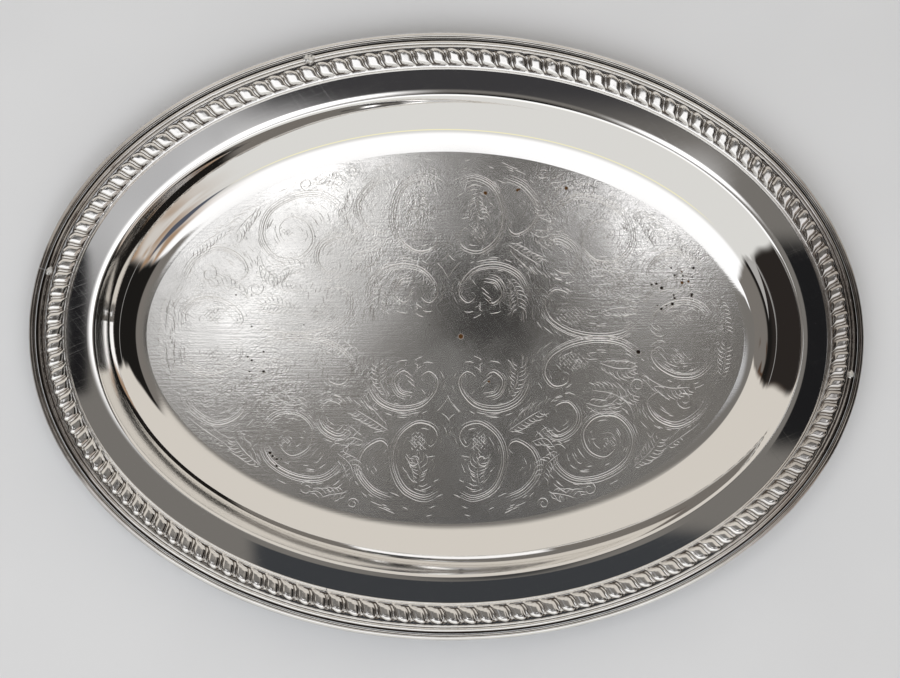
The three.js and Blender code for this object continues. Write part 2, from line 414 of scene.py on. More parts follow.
def makeSilverPlate():
    made, tree, shader = newMaterial("silver_plate")
    well = readPainted(tree, "well")
    cut = readPainted(tree, "cut")
    pit = readPainted(tree, "pit")
    spot = readPainted(tree, "spot")
    haze = useGroup(tree, cloud, {"Scale": 14.0, "From": 0.35, "To": 0.7}).outputs[0]
    colour = mixColour(tree, times(tree, haze, well), silver["polished"], silver["hazy"])
    colour = mixColour(tree, times(tree, cut, 0.5), colour, silver["cut"])
    colour = mixColour(tree, spot, colour, silver["spot"])
    colour = mixColour(tree, pit, colour, silver["pit"])
    tree.links.new(colour, shader.inputs["Base Color"])
    brushed = useGroup(tree, fineScratches, {"Scale": 900.0, "Stretch": 18.0})
    crossed = useGroup(tree, fineScratches, {"Scale": 1500.0, "Stretch": 50.0, "Turn": 0.9})
    wiped = useGroup(tree, fineScratches, {"Scale": 1500.0, "Stretch": 50.0, "Turn": -0.4})
    rough = plus(tree, 0.02, times(tree, well, silver["wellRoughness"]))
    rough = plus(tree, rough, times(tree, times(tree, haze, well), silver["wellRoughness"]))
    marks = plus(tree, crossed.outputs["Mask"], wiped.outputs["Mask"])
    rough = plus(tree, rough, times(tree, marks, 0.02))
    rough = plus(tree, rough, times(tree, cut, silver["cutRoughness"]))
    rough = plus(tree, rough, times(tree, plus(tree, pit, spot), silver["pitRoughness"]))
    tree.links.new(rough, shader.inputs["Roughness"])
    strength = times(tree, well, silver["brushing"])
    bump = addNode(tree, "ShaderNodeBump", {"Height": brushed.outputs["Height"], "Strength": strength,
                                            "Distance": silver["bump"]})
    chased = readPainted(tree, "chased")
    place = objectPlace(tree)
    chasing = addNode(tree, "ShaderNodeTexNoise", {"Vector": place, "Scale": 300.0, "Detail": 2.5,
                                                   "Distortion": 2.8})
    strength = plus(tree, times(tree, chased, silver["chasing"]), silver["chasingEverywhere"])
    strength = times(tree, strength, well)
    bump = addNode(tree, "ShaderNodeBump", {"Height": chasing.outputs[0], "Strength": strength,
                                            "Distance": silver["bump"], "Normal": bump.outputs[0]})
    tree.links.new(bump.outputs[0], shader.inputs["Normal"])
    return made


def makeStampedSilver():
    made, tree, shader = newMaterial("stamped_silver")
    crest = readPainted(tree, "crest")
    haze = useGroup(tree, cloud, {"Scale": 70.0, "From": 0.35, "To": 0.7}).outputs[0]
    # Low parts of the lobes take tarnish, and the deepest grooves take near-black grime. Both are partly real
    # and partly painted shade of the hollows, and the lobe heads carry a painted dark reflection through the
    # crest share.
    hollow = smooth(tree, crest, 0.5, 0.12)
    deep = smooth(tree, crest, 0.16, 0.02)
    colour = mixColour(tree, times(tree, hollow, plus(tree, 0.5, times(tree, haze, 0.4))),
                       silver["polished"], silver["tarnishAndShade"])
    colour = mixColour(tree, times(tree, deep, 0.85), colour, silver["grimeAndShade"])
    place = addNode(tree, "ShaderNodeSeparateXYZ", {0: objectPlace(tree)})
    darkerAtEnds = smooth(tree, place.outputs[0], 0.15, 0.205, 0.05, 0.6)  # colour darker and duller towards the right end
    colour = mixColour(tree, times(tree, darkerAtEnds, plus(tree, 0.7, times(tree, haze, 0.4))), colour,
                       silver["darkerAtEnds"])
    tree.links.new(colour, shader.inputs["Base Color"])
    rough = plus(tree, plus(tree, 0.07, times(tree, haze, 0.05)), times(tree, hollow, 0.2))
    tree.links.new(rough, shader.inputs["Roughness"])
    return made


def makeEdgeSilver():
    made, tree, shader = newMaterial("edge_silver")
    grimeAndShade = readPainted(tree, "grimeAndShade")
    haze = useGroup(tree, cloud, {"Scale": 40.0, "From": 0.35, "To": 0.7}).outputs[0]
    patchy = useGroup(tree, cloud, {"Scale": 110.0, "From": 0.3, "To": 0.75}).outputs[0]
    colour = mixColour(tree, haze, silver["polished"], silver["hazy"])
    # Grooves, bead flanks and feet take near-black grime, which is partly real dirt and partly painted shade
    # where the parts meet and overhang.
    dirtAndShade = smooth(tree, plus(tree, grimeAndShade, times(tree, patchy, 0.35)), 0.45, 0.95)
    place = addNode(tree, "ShaderNodeSeparateXYZ", {0: objectPlace(tree)})
    out = calc(tree, "ABSOLUTE", place.outputs[0])
    darkerAtEnds = smooth(tree, out, 0.13, 0.215, 0.12, 0.7)  # colour darker and duller towards the two ends
    darkerAtEnds = times(tree, darkerAtEnds, plus(tree, 0.75, times(tree, patchy, 0.35)))
    colour = mixColour(tree, darkerAtEnds, colour, silver["darkerAtEnds"])
    colour = mixColour(tree, times(tree, smooth(tree, grimeAndShade, 0.2, 0.7), 0.6), colour, silver["tarnishAndShade"])
    colour = mixColour(tree, dirtAndShade, colour, silver["grimeAndShade"])
    tree.links.new(colour, shader.inputs["Base Color"])
    nicks = useGroup(tree, fineScratches, {"Scale": 300.0, "Stretch": 6.0})
    rough = plus(tree, 0.08, times(tree, nicks.outputs["Mask"], 0.1))
    tree.links.new(plus(tree, rough, times(tree, dirtAndShade, 0.3)), shader.inputs["Roughness"])
    return made


def makeLeadTin():
    made, tree, shader = newMaterial("lead_tin")
    grain = useGroup(tree, cloud, {"Scale": 300.0, "From": 0.3, "To": 0.7}).outputs[0]
    tree.links.new(mixColour(tree, grain, (0.46, 0.47, 0.49), (0.36, 0.37, 0.385)), shader.inputs["Base Color"])
    tree.links.new(plus(tree, 0.45, times(tree, grain, 0.2)), shader.inputs["Roughness"])
    return made


def makeDabSolder():
    made, tree, shader = newMaterial("seam_solder")
    grain = useGroup(tree, cloud, {"Scale": 500.0, "From": 0.3, "To": 0.7}).outputs[0]
    tree.links.new(mixColour(tree, grain, (0.93, 0.93, 0.92), (0.78, 0.78, 0.77)), shader.inputs["Base Color"])
    tree.links.new(plus(tree, 0.3, times(tree, grain, 0.2)), shader.inputs["Roughness"])
    return made


silverPlate, stampedSilver, edgeSilver = makeSilverPlate(), makeStampedSilver(), makeEdgeSilver()
leadTin, dabSolder = makeLeadTin(), makeDabSolder()
print("materials made")


def makeRimCurve():
    count = 2048
    x, y = ringPoint(np.arange(count) / count, 0.0)
    data = bpy.data.curves.new("rimCurve", "CURVE")
    data.dimensions = "3D"
    spline = data.splines.new("POLY")
    spline.points.add(count - 1)
    spline.points.foreach_set("co", np.stack([x, y, 0 * x, 0 * x + 1], 1).ravel())
    spline.use_cyclic_u = True
    made = addObject("rimCurve", data)
    return made


def vectorCalc(group, operation, inputs):
    return addNode(group, "ShaderNodeVectorMath", inputs, operation=operation).outputs[0]


def makeBendGroup():
    group, given, result = newGroup("bendRoundRim", "GeometryNodeTree", [
        ("Run", "NodeSocketGeometry", None), ("Rim", "NodeSocketGeometry", None),
        ("Length", "NodeSocketFloat", 1.0), ("Start", "NodeSocketFloat", 0.0), ("End", "NodeSocketFloat", 1.0),
        ("Crowding", "NodeSocketFloat", 0.0)],
        [("Run", "NodeSocketGeometry")])
    place = addNode(group, "ShaderNodeSeparateXYZ", {0: addNode(group, "GeometryNodeInputPosition").outputs[0]})
    along = calc(group, "DIVIDE", place.outputs[0], given.outputs["Length"])
    spread = less(group, given.outputs["End"], given.outputs["Start"])
    turn = plus(group, given.outputs["Start"], times(group, along, spread))
    wave = calc(group, "SINE", times(group, turn, 4 * math.pi))
    shift = times(group, wave, calc(group, "DIVIDE", given.outputs["Crowding"], 4 * math.pi))
    turn = calc(group, "FRACT", less(group, turn, shift))
    sample = addNode(group, "GeometryNodeSampleCurve", {"Curves": given.outputs["Rim"], "Factor": turn},
                     mode="FACTOR")
    inward = vectorCalc(group, "CROSS_PRODUCT", {0: (0, 0, 1), 1: sample.outputs["Tangent"]})
    inset = vectorCalc(group, "SCALE", {0: inward, "Scale": place.outputs[1]})
    raised = addNode(group, "ShaderNodeCombineXYZ", {2: place.outputs[2]}).outputs[0]
    moved = vectorCalc(group, "ADD", {0: sample.outputs["Position"], 1: inset})
    moved = vectorCalc(group, "ADD", {0: moved, 1: raised})
    bent = addNode(group, "GeometryNodeSetPosition", {"Geometry": given.outputs["Run"], "Position": moved})
    group.links.new(bent.outputs[0], result.inputs[0])
    return group


def roughened(group, given, bent, scale, detail):  # moves the points a little, each its own way
    wobble = addNode(group, "ShaderNodeTexNoise", {"Scale": scale, "Detail": detail})
    centred = vectorCalc(group, "SUBTRACT", {0: wobble.outputs["Color"], 1: (0.5, 0.5, 0.5)})
    amount = vectorCalc(group, "SCALE", {0: centred, "Scale": given.outputs["Unevenness"]})
    return addNode(group, "GeometryNodeSetPosition", {"Geometry": bent, "Offset": amount}).outputs[0]


def covered(group, given, run, result):
    made = addNode(group, "GeometryNodeSetMaterial", {"Geometry": run, "Material": given.outputs["Material"]})
    group.links.new(made.outputs[0], result.inputs[0])


def makeLobeTree(bend):
    group, given, result = newGroup("gadroonRun", "GeometryNodeTree", [
        ("Geometry", "NodeSocketGeometry", None), ("Rim", "NodeSocketObject", None),
        ("Lobe", "NodeSocketObject", None),
        ("Lobes", "NodeSocketInt", 30), ("Start", "NodeSocketFloat", 0.0), ("End", "NodeSocketFloat", 1.0),
        ("Crowding", "NodeSocketFloat", 0.0), ("Unevenness", "NodeSocketFloat", 0.0),
        ("Material", "NodeSocketMaterial", None)], [("Geometry", "NodeSocketGeometry")])
    rim = addNode(group, "GeometryNodeObjectInfo", {"Object": given.outputs["Rim"]})
    lobe = addNode(group, "GeometryNodeObjectInfo", {"Object": given.outputs["Lobe"]})
    line = addNode(group, "GeometryNodeMeshLine", {"Count": given.outputs["Lobes"], "Offset": (1, 0, 0)})
    placed = addNode(group, "GeometryNodeInstanceOnPoints",
                     {"Points": line.outputs[0], "Instance": lobe.outputs["Geometry"]})
    joined = addNode(group, "GeometryNodeRealizeInstances", {0: placed.outputs[0]})
    merged = addNode(group, "GeometryNodeMergeByDistance", {"Geometry": joined.outputs[0], "Distance": 1e-5})
    bent = useGroup(group, bend, {"Run": merged.outputs[0], "Rim": rim.outputs["Geometry"],
                                  "Length": given.outputs["Lobes"],
                                  "Start": given.outputs["Start"], "End": given.outputs["End"],
                                  "Crowding": given.outputs["Crowding"]})
    covered(group, given, roughened(group, given, bent.outputs[0], 160.0, 1.0), result)
    return group


def makeEdgeTree(bend):
    group, given, result = newGroup("edgeRun", "GeometryNodeTree", [
        ("Geometry", "NodeSocketGeometry", None), ("Rim", "NodeSocketObject", None),
        ("Start", "NodeSocketFloat", 0.0), ("End", "NodeSocketFloat", 1.0),
        ("Unevenness", "NodeSocketFloat", 0.0), ("Material", "NodeSocketMaterial", None)],
        [("Geometry", "NodeSocketGeometry")])
    rim = addNode(group, "GeometryNodeObjectInfo", {"Object": given.outputs["Rim"]})
    bent = useGroup(group, bend, {"Run": given.outputs["Geometry"], "Rim": rim.outputs["Geometry"],
                                  "Start": given.outputs["Start"], "End": given.outputs["End"]})
    worn = roughened(group, given, bent.outputs[0], 45.0, 2.0)
    covered(group, given, addNode(group, "GeometryNodeRealizeInstances", {0: worn}).outputs[0], result)
    return group


def runNodes(name, source, group, inputs):
    made = addObject(name, source)
    modifier = made.modifiers.new("nodes", "NODES")
    modifier.node_group = group
    for item in group.interface.items_tree:
        if item.in_out == "INPUT" and item.name in inputs:
            modifier[item.identifier] = inputs[item.name]
    bpy.context.view_layer.update()
    baked = bpy.data.meshes.new_from_object(made.evaluated_get(bpy.context.evaluated_depsgraph_get()))
    made.modifiers.clear()
    made.data = baked
    baked.name = name
    return made


def closeEnds(piece, sharpDegrees):
    work = bmesh.new()
    work.from_mesh(piece.data)
    for degrees in gadroon["dents"]:
        middle = Vector((*ringPoint(turnAt(degrees), gadroon["inset"] * mm), rimTop + 3 * mm))
        for vert in work.verts:
            near = 1 - (vert.co - middle).length / (gadroon["dentSize"] * mm)
            if near > 0 and vert.co.z > rimTop + 0.8 * mm:
                push = noise.noise_vector(vert.co * 420 + Vector((degrees, 0, 0)))
                vert.co += Vector((push.x, push.y, min(0.0, push.z))) * near * gadroon["dentDepth"] * mm
    ends = [edge for edge in work.edges if edge.is_boundary]
    bmesh.ops.holes_fill(work, edges=ends)
    bmesh.ops.recalc_face_normals(work, faces=work.faces)
    work.to_mesh(piece.data)
    work.free()
    piece.data.polygons.foreach_set("use_smooth", [True] * len(piece.data.polygons))
    piece.data.set_sharp_from_angle(angle=math.radians(sharpDegrees))


def finishPiece(piece, slot, *replaced):
    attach(piece, "root")
    if replaced:
        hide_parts(*replaced)
    return piece


gadroon = {
    "joints": (12, 110.5, 188, 252.5), "lobes": 141, "crowding": 0.077,
    "inset": 8.85, "lobeWidth": 9.2, "lean": 0.5, "height": 1.5, "crown": 3.93, "fall": 1.05,
    "halfLobe": 0.39, "head": 0.27,
    # The cap share sets how strongly a dark reflection is painted into each lobe's head.
    "capPaintedReflection": 0.78, "gap": 0.3, "scallop": 1.0, "unevenness": 0.00016,
    "dents": (188, 168, 157, 145, 126, 110.5, 88, 80, 76, 39, 18, 12, 252.5), "dentSize": 5.5, "dentDepth": 0.7,
}
lobeColumns = (0, 0.05, 0.085, 0.108, 0.12, 0.135, 0.16, 0.2, 0.26, 0.34, 0.42,
               0.5, 0.58, 0.66, 0.74, 0.8, 0.84, 0.865, 0.88, 0.892, 0.915, 0.95, 1)
lobeRows = (  # share of the lobed stretch, height of the grooves above the rim in mm
    (0.0, 0.45), (0.0, 1.0), (0.025, 1.35), (0.06, 1.6), (0.1, 1.8), (0.16, 2.05), (0.23, 2.3), (0.32, 2.45),
    (0.43, 2.5), (0.55, 2.46), (0.66, 2.34), (0.75, 2.15), (0.82, 1.95), (0.88, 1.78), (0.93, 1.65), (1.0, 1.5))
beadRows = ((0.25, 1.52), (0.7, 1.5), (1.25, 1.4), (1.42, 1.32), (1.55, 1.62), (1.75, 1.8), (2.0, 1.86),
            (2.22, 1.72), (2.38, 1.3), (2.45, 0.5))  # mm past the lobes, height above the rim in mm


def ribRise(away, q):
    if q < 0.04 or q > 0.93:
        return 0.0
    bud = math.exp(-((q - 0.15) / 0.07) ** 2)
    reach = abs(away) / (0.088 + 0.028 * bud)
    ends = min(1.0, (q - 0.04) / 0.05, (0.93 - q) / 0.06) ** 0.5
    return gadroon["height"] * (0.3 + 0.5 * bud) * ends * max(0.0, 1 - reach ** 2) ** 0.5


def lobeRise(p, q, base):
    away = p - 0.5
    head = gadroon["head"]
    half = gadroon["halfLobe"]
    reach = math.hypot(away / half, max(0.0, head - q) / head)
    rise = 0.0
    if reach < 1:
        endsAt = 0.95 - 0.08 * away / half
        past = q - 0.26
        level = gadroon["crown"] - gadroon["fall"] * (past + math.hypot(past, 0.07)) / 2
        rise = (level - base) * (1 - reach ** 5) ** 0.5 * min(1.0, max(0.0, endsAt - q) / 0.13) ** 0.5
    return max(rise, ribRise(min(p, 1 - p), q))


def makeLobeTile():
    side = len(lobeColumns)
    width = gadroon["lobeWidth"]
    rows = [(share * width, base, share) for share, base in lobeRows]
    rows += [(width + past, base, 1.2) for past, base in beadRows]
    under = [(0.0, 0.45), (0.75, 0.5), (0.9, 1.0), (2.2, 1.72), (3.8, 1.95), (6.2, 1.6), (8.6, 1.05),
             (10.6, 0.85), (11.1, 1.15), (11.5, 0.5)]
    points, crest, faces = [], [], []
    for j, (inset, base, share) in enumerate(rows + [(*pair, None) for pair in under]):
        across = min(inset / width, 1.0)
        lean = gadroon["lean"] * (across + 0.09 * math.sin(2 * math.pi * across))
        for p in lobeColumns:
            rise = lobeRise(p, share, base) if share is not None and 0 < share <= 1 and j > 0 else 0.0
            cusp = 1 - math.sqrt(1 - min(1.0, abs(p - 0.5) / 0.52) ** 2)
            notch = gadroon["scallop"] * cusp * max(0.0, 1 - inset / 2.6)
            points.append((p - lean, (gadroon["inset"] + inset + notch) * mm, rimTop + (base + rise) * mm))
            worn = min(1.0, rise / gadroon["height"] * 1.6)
            # Higher points keep a brighter crest share. Each lobe's head gets a lower one, which is a dark
            # reflection painted into its colour.
            capReflectionShare = 0.0 if share is None else math.exp(-((share - 0.2) / 0.085) ** 2 - ((p - 0.5) / 0.27) ** 4)
            worn *= 1 - gadroon["capPaintedReflection"] * capReflectionShare
            if share is None or j == 0:
                crest.append(0.0)
            else:
                crest.append(0.85 if share > 1 else max(worn, 0.12 if j < 4 else 0.0))
    for j in range(len(rows) + len(under) - 1):
        for i in range(side - 1):
            a, b = j * side + i, (j + 1) * side + i
            if j < len(rows) - 1:
                faces.append((a, a + 1, b + 1, b))
            elif j >= len(rows):
                faces.append((a, b, b + 1, a + 1))
    for i in range(side - 1):
        a, b = (len(rows) - 1) * side + i, (len(rows) + len(under) - 1) * side + i
        faces.append((a, a + 1, b + 1, b))
        c, d = i, len(rows) * side + i
        faces.append((c, d, d + 1, c + 1))
    mesh = bpy.data.meshes.new("lobeTile")
    mesh.from_pydata(points, [], faces)
    mesh.attributes.new("crest", "FLOAT", "POINT").data.foreach_set("value", crest)
    made = addObject("lobeTile", mesh)
    return made


dabs = {  # length along the strip and width across it, in mm
    "sizes": ((6.5, 5.2), (5, 3.6), (4.2, 3.4)),
    "inset": 6.125, "base": 1.1, "tall": 1.7, "lumps": 0.5, "seed": 5,
}


def makeDabs():
    for i, (degrees, (length, width)) in enumerate(zip(edge["stripJoints"], dabs["sizes"])):
        turn = turnAt(degrees)
        x, y = ringPoint(turn, dabs["inset"] * mm)
        ahead = ringPoint(turn + 0.001, dabs["inset"] * mm)
        along = Vector((ahead[0] - x, ahead[1] - y, 0)).normalized()
        across = Vector((-along.y, along.x, 0))
        work = bmesh.new()
        bmesh.ops.create_icosphere(work, subdivisions=4, radius=1)
        for vert in work.verts:
            lump = 1 + dabs["lumps"] * noise.noise(vert.co * 1.7 + Vector((9 * i + dabs["seed"], 0, 0)))
            lump += 0.14 * noise.noise(vert.co * 5 + Vector((0, 7 * i, 0)))
            co = vert.co * lump
            flow = along * co.x * length / 2 + across * co.y * width / 2
            vert.co = Vector((x, y, rimTop)) + flow * mm
            vert.co.z += (dabs["base"] + max(co.z, -0.15) * dabs["tall"]) * mm
        mesh = bpy.data.meshes.new(f"dab_{i + 1}")
        work.to_mesh(mesh)
        work.free()
        mesh.materials.append(dabSolder)
        mesh.polygons.foreach_set("use_smooth", [True] * len(mesh.polygons))
        made = addObject(f"dab_{i + 1}", mesh)
        finishPiece(made, "seam_solder", f"seam_solder_{i + 1}")


rimCurve = makeRimCurve()
bendRoundRim = makeBendGroup()


def makeGadroons():
    tree = makeLobeTree(bendRoundRim)
    tile = makeLobeTile()
    empty = bpy.data.meshes.new("run")
    crowd = gadroon["crowding"] / (4 * math.pi)
    gap = gadroon["gap"] * mm / 2 / ovalLength
    for i, (start, end) in enumerate(lengthsBetween(gadroon["joints"])):
        lobes = round((end - start) * gadroon["lobes"])
        start, end = [turn + crowd * math.sin(4 * math.pi * turn) for turn in (start + gap, end - gap)]
        name = f"gadroon_{i + 1}"
        piece = runNodes(name, empty, tree, {
            "Rim": rimCurve, "Lobe": tile, "Lobes": lobes, "Start": start, "End": end,
            "Material": stampedSilver, "Crowding": gadroon["crowding"], "Unevenness": gadroon["unevenness"]})
        closeEnds(piece, 70)
        finishPiece(piece, "stamped_silver", f"gadroon_mount_{i + 1}")
    bpy.data.objects.remove(tile)


edge = {
    "step": 2.4, "unevenness": 0.00025, "gap": 0.3,
    "wireJoints": (39, 168), "wireRadius": 1.7, "wireDrop": 0.3,
    "stripJoints": (110.5, 168, 352.5), "stripInset": 3.75, "stripWidth": 4.75,
}


def halfRound(centre, half, base, tall, first, last, count):  # inset, height and dirt-and-painted-shade share of points over a bead
    for i in range(count):
        a = math.radians(first + (last - first) * i / (count - 1))
        dirtAndShade = 0.0 if 25 < math.degrees(a) < 155 else 0.35
        yield centre + half * math.cos(a), base + tall * math.sin(a), dirtAndShade


# Each point's third value is its share of dirt and painted shade, highest in the grooves and at the feet of the
# beads.
def wireSection():
    r, drop = edge["wireRadius"], -edge["wireDrop"]
    section = [(x, z, 0.3) for x, z, _ in halfRound(r, -r, drop, -r, 170, 20, 8)]
    section += [(r - r * math.cos(a), drop + r * math.sin(a), 0.6 if a < 0.25 else 0.0)
                for a in (math.radians(d) for d in range(-6, 110, 10))]
    section += [(2.3, 1.06, 0.8), (2.36, 0.9, 0.95), (2.48, 0.9, 0.95), (2.54, 0.98, 0.3)]
    section += [(x, z, 0.0) for x, z, _ in halfRound(2.86, -0.32, 0.95, 0.34, 12, 165, 6)]
    section += [(3.2, 0.85, 0.9), (3.26, 0.6, 1.0), (3.39, 0.4, 1.0)]
    return section


# The third value is the share of dirt and painted shade. The strip is darkest at its feet beside the wire and
# the gadroons.
def stripSection():
    near, far = edge["stripInset"], edge["stripInset"] + edge["stripWidth"]
    section = [(near + 0.05, 0.35, 1.0), (far, 0.35, 1.0), (far, 0.85, 0.9)]
    section += list(halfRound(far - 0.75, 0.74, 0.95, 0.62, 8, 172, 8))
    section += [(far - 1.5, 0.84, 0.85), (far - 1.7, 0.84, 0.85)]
    section += list(halfRound(far - 2.72, 1.04, 0.92, 0.66, 8, 172, 10))
    section += [(near + 0.92, 0.72, 1.0), (near + 0.5, 0.52, 1.0), (near + 0.2, 0.42, 1.0)]
    return section


def makeEdgeRun(name, section, start, end, tree, replaced):
    steps = max(8, round((end - start) * ovalLength / (edge["step"] * mm)))
    points = [(k / steps, inset * mm, rimTop + height * mm)
              for k in range(steps + 1) for inset, height, _ in section]
    side = len(section)
    faces = [(k * side + i, k * side + (i + 1) % side, (k + 1) * side + (i + 1) % side, (k + 1) * side + i)
             for k in range(steps) for i in range(side)]
    source = bpy.data.meshes.new(name)
    source.from_pydata(points, [], faces)
    grimeAndShade = [dirtAndShade for _ in range(steps + 1) for _, _, dirtAndShade in section]
    source.attributes.new("grimeAndShade", "FLOAT", "POINT").data.foreach_set("value", grimeAndShade)
    gap = edge["gap"] * mm / 2 / ovalLength
    piece = runNodes(name, source, tree, {"Rim": rimCurve, "Start": start + gap, "End": end - gap,
                                          "Unevenness": edge["unevenness"], "Material": edgeSilver})
    closeEnds(piece, 50)
    finishPiece(piece, "edge_silver", replaced)


def makeEdges():
    tree = makeEdgeTree(bendRoundRim)
    for i, (start, end) in enumerate(lengthsBetween(edge["wireJoints"])):
        makeEdgeRun(f"bead_wire_{i + 1}", wireSection(), start, end, tree, f"edge_wire_{i + 1}")
    for i, (start, end) in enumerate(lengthsBetween(edge["stripJoints"])):
        makeEdgeRun(f"reeds_{i + 1}", stripSection(), start, end, tree, f"reeded_strip_{i + 1}")


makeGadroons()
makeEdges()
makeDabs()
bpy.data.objects.remove(rimCurve)
print("border made")


engraving = {  # mm from the middle of the well, for one quarter; the other three mirror it
    "scrolls": [
        [(5, 85), (14, 88.5), (25, 83), (30.5, 69), (27.5, 56), (18, 48), (9, 49.5), (6, 55.5), (9.5, 60.5),
         (13.5, 57)],
        [(31, 89), (42, 84), (49.5, 73.5), (46.5, 63), (38, 57.5), (33.5, 61), (36.5, 65)],
        [(58, 60), (61, 71), (71, 78), (86, 76.5), (99, 68), (102.5, 55), (95, 44.5), (83, 44), (75.5, 52),
         (78, 62), (87, 66), (93.5, 60), (91, 53), (85, 53)],
        [(147, 3), (147, 13), (139, 20.5), (127, 21), (117, 15.5), (113.5, 8.5), (118, 4.5), (122, 8)],
        [(107, 9), (96, 2.6), (82, 1.2), (68, 4), (57, 11), (54, 20), (59, 26.5), (66, 25), (67, 20),
         (63, 18.5)],
        [(45, 18), (44, 28), (38, 36.5), (27, 40.5), (15, 38.5), (7.5, 31), (6, 23.5), (10.5, 19), (15, 22),
         (13, 25.5)],
        [(52, 48), (60, 55), (69, 51), (72, 43), (67, 36), (60, 38), (61, 43)],
        [(148, 30), (141, 42), (128, 49), (116, 45), (111, 36), (117, 30), (122, 34)],
        [(20, 33), (27, 31), (30, 24), (25, 19), (20, 22)],
    ],
    "curls": [(78.5, 84, 4.2, 200), (132, 34, 5.5, 20), (106, 26, 4.5, 90), (53, 92, 3.5, 150),
              (19, 68, 4.0, 300)],
    "sprays": [
        [(33, 52), (42, 46), (52, 40)], [(56, 86), (66, 87.5), (76, 91)], [(103, 72), (112, 64), (119, 55)],
        [(105, 46), (101, 37), (92, 31), (80, 29)], [(17, 82), (16, 74), (19, 65)],
        [(153, 22), (155, 12), (156, 3)],
        [(62, 64), (55, 70), (52, 78)], [(84, 14), (94, 17), (104, 17)], [(34, 33), (38, 25), (39, 15)],
        [(122, 60), (134, 52), (142, 46)], [(76, 36), (88, 38), (98, 30)],
        [(46, 58), (54, 56), (60, 62)], [(108, 20), (122, 27), (136, 27)],
    ],
    "nets": [(70, 13, 11, 6), (17, 58, 6, 7), (130, 11, 8, 5), (90, 58, 5, 4)],
    "line": (0.5, 0.032), "fine": (0.4, 0.024), "hair": (0.34, 0.02),  # width and depth in mm
    "step": 1.25, "spread": 4.5, "ground": 480, "groundReach": 11.0, "seed": 7,
}
marks = {  # pits and spots: middle, spread, how many, radius, all in mm
    "pits": [((127, 28), (14, 13), 17, 0.8), ((-107, -14), (5, 6), 5, 0.8), ((-94, -68), (5, 4), 5, 0.7),
             ((106.5, -8), (0.5, 0.5), 2, 1.1), ((23, 21), (2, 2), 1, 0.9), ((-60, 30), (60, 40), 6, 0.4)],
    "spots": [((21, 81), (1, 1), 1, 1.1), ((39.5, 82), (1, 1), 2, 1.0), ((66, 83), (1, 1), 1, 1.2),
              ((7, 0.5), (1, 1), 1, 1.3), ((23, -25), (1, 1), 1, 0.9), ((128, 30), (10, 8), 3, 0.8)],
    "depth": 0.14,
}
body = {
    "sheet": 1.2, "edge": 3.75, "shoulder": 34.0, "lowerRadius": 24.9, "lowerAngle": 43.5, "upperRadius": 140.0,
    "upperAngle": 49.85, "shoulderRadius": 2.5,
    "columns": 400, "lowerRows": 16, "upperRows": 6, "shoulderRows": 10,
    "rimWave": 0.012, "wallWave": 0.05, "wellWave": 0.05,
}


def sheetRows(depth, finer=1):  # inset and height in mm from the edge of the well outwards
    low, high = math.radians(body["lowerAngle"]), math.radians(body["upperAngle"])
    lower, upper, turn = body["lowerRadius"], body["upperRadius"], body["shoulderRadius"]
    width = lower * math.sin(low) + upper * (math.sin(high) - math.sin(low)) + turn * math.sin(high)
    foot = body["shoulder"] + width
    rows = []
    steps = body["lowerRows"] // finer
    for i in [0, *range(steps // 4, steps + 1)]:  # the first step is a low crease round the well
        a = low * i / steps
        rows.append((foot - (lower + depth) * math.sin(a),
                     body["sheet"] + lower - (lower + depth) * math.cos(a)))
    steps = body["upperRows"] // finer
    for i in range(1, steps + 1):
        a = low + (high - low) * i / steps
        rows.append((foot + (upper - lower) * math.sin(low) - (upper + depth) * math.sin(a),
                     body["sheet"] + lower + (upper - lower) * math.cos(low) - (upper + depth) * math.cos(a)))
    steps = body["shoulderRows"] // finer
    for i in range(steps - 1, -1, -1):
        a = high * i / steps
        rows.append((body["shoulder"] + (turn - depth) * math.sin(a),
                     rimTop / mm - turn + (turn - depth) * math.cos(a)))
    for inset in (31, 28, 25, 22, 19, 14, 9, body["edge"])[::finer] if finer == 1 else (25, 15, body["edge"]):
        rows.append((inset, rimTop / mm - depth))
    return rows


def searchTree(places):
    tree = kdtree.KDTree(len(places))
    for i, place in enumerate(places):
        tree.insert((place[0], place[1], 0), i)
    tree.balance()
    return tree


def through(points, step):  # a smooth curve through some points
    p = np.array(points, float)
    ends = np.vstack([2 * p[0] - p[1], p, 2 * p[-1] - p[-2]])
    drawn = []
    for i in range(len(p) - 1):
        a, b, c, d = ends[i:i + 4]
        for t in np.linspace(0, 1, max(2, int(np.hypot(*(c - b)) / step) + 1), endpoint=False):
            drawn.append(0.5 * (2 * b + (c - a) * t + (2 * a - 5 * b + 4 * c - d) * t ** 2
                                + (3 * b - a - 3 * c + d) * t ** 3))
    return np.array(drawn + [p[-1]])


def beside(curve, offset):
    along = np.gradient(curve, axis=0)
    along /= np.maximum(np.hypot(along[:, 0], along[:, 1])[:, None], 1e-6)
    return curve + np.stack([-along[:, 1], along[:, 0]], 1) * offset


def curl(x, y, radius, start):
    turns = np.linspace(0, 1, max(8, int(radius * 7.5 / engraving["step"])))
    angle, reach = math.radians(start) + turns * 8.5, radius * (1 - 0.72 * turns)
    return np.stack([x + reach * np.cos(angle), y + reach * np.sin(angle)], 1)


def groundStrokes(curves, chance):  # short hairlines that run the way the nearest scroll runs
    along = [np.gradient(curve, axis=0) / np.hypot(*np.gradient(curve, axis=0).T)[:, None] for curve in curves]
    places, ways = np.concatenate(curves), np.concatenate(along)
    tree, strokes = searchTree(places), []
    for _ in range(engraving["ground"]):
        x, y = chance.uniform(2, 160), chance.uniform(2, 98)
        points = [np.array((x, y))]
        for _ in range(chance.randint(3, 6)):
            _, i, away = tree.find((*points[-1], 0))
            if not 1.6 < away < engraving["groundReach"]:
                break
            points.append(points[-1] + ways[i] * engraving["step"] * 0.95)
        if len(points) > 3:
            strokes.append((np.array(points), *engraving["hair"]))
    return strokes


